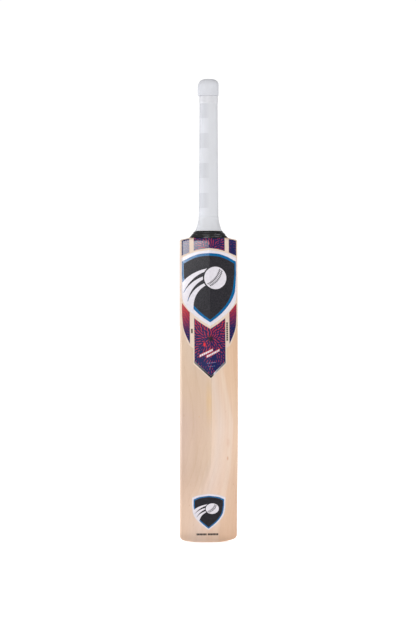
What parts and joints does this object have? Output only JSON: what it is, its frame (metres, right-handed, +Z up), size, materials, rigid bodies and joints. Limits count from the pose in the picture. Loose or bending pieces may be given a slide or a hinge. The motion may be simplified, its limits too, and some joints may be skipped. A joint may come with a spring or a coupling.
{
  "type": "cricket bat",
  "caption": "Short-handle cricket bat: ridged willow blade with shield labels on its back, spliced cane handle, pale rubber grip and black shoulder tape.",
  "frame": {"origin": "middle of the bat's footprint at the lowest point of the toe", "axes": "+Z up along the bat with the handle on top, +Y out of the flat hitting face, -Y out of the ridged back, X across the blade"},
  "size_m": [0.107, 0.066, 0.865],
  "materials": {
    "willow": "pressed and oiled willow, satin, straight grain",
    "cane": "split cane, fine fibres",
    "spring_rubber": "matt dark rubber",
    "twine": "waxed linen thread, close wound",
    "grip_rubber": "matt pale grey rubber with faint square blocks",
    "grip_band": "thin glossy band",
    "shoulder_tape": "black stretched tape, glossy wrinkles",
    "label_cream": "cream vinyl, satin",
    "label_print": "glossy vinyl, red maze lines on navy and maroon",
    "foil": "dark metallic foil",
    "shield_print": "glossy vinyl, white and blue border on a black field"
  },
  "bodies": {
    "root": {"blade": "willow", "cane_strip_a1": "cane", "cane_strip_a2": "cane", "cane_strip_a3": "cane", "cane_strip_b1": "cane", "cane_strip_b2": "cane", "cane_strip_b3": "cane", "cane_strip_c1": "cane", "cane_strip_c2": "cane", "cane_strip_c3": "cane", "cane_strip_d1": "cane", "cane_strip_d2": "cane", "cane_strip_d3": "cane", "rubber_spring_left": "spring_rubber", "rubber_spring_middle": "spring_rubber", "rubber_spring_right": "spring_rubber", "twine_binding": "twine", "grip": "grip_rubber", "grip_end_cap": "grip_rubber", "grip_end_band": "grip_band", "shoulder_tape": "shoulder_tape", "label_backing": "label_cream", "centre_strip_upper": "label_print", "centre_strip_lower": "label_print", "side_strip_left_upper": "label_print", "side_strip_left_lower": "label_print", "side_strip_right_upper": "label_print", "side_strip_right_lower": "label_print", "strip_foil_edge": "foil", "shield_label": "shield_print", "toe_shield_label": "shield_print"}
  },
  "joints": []
}
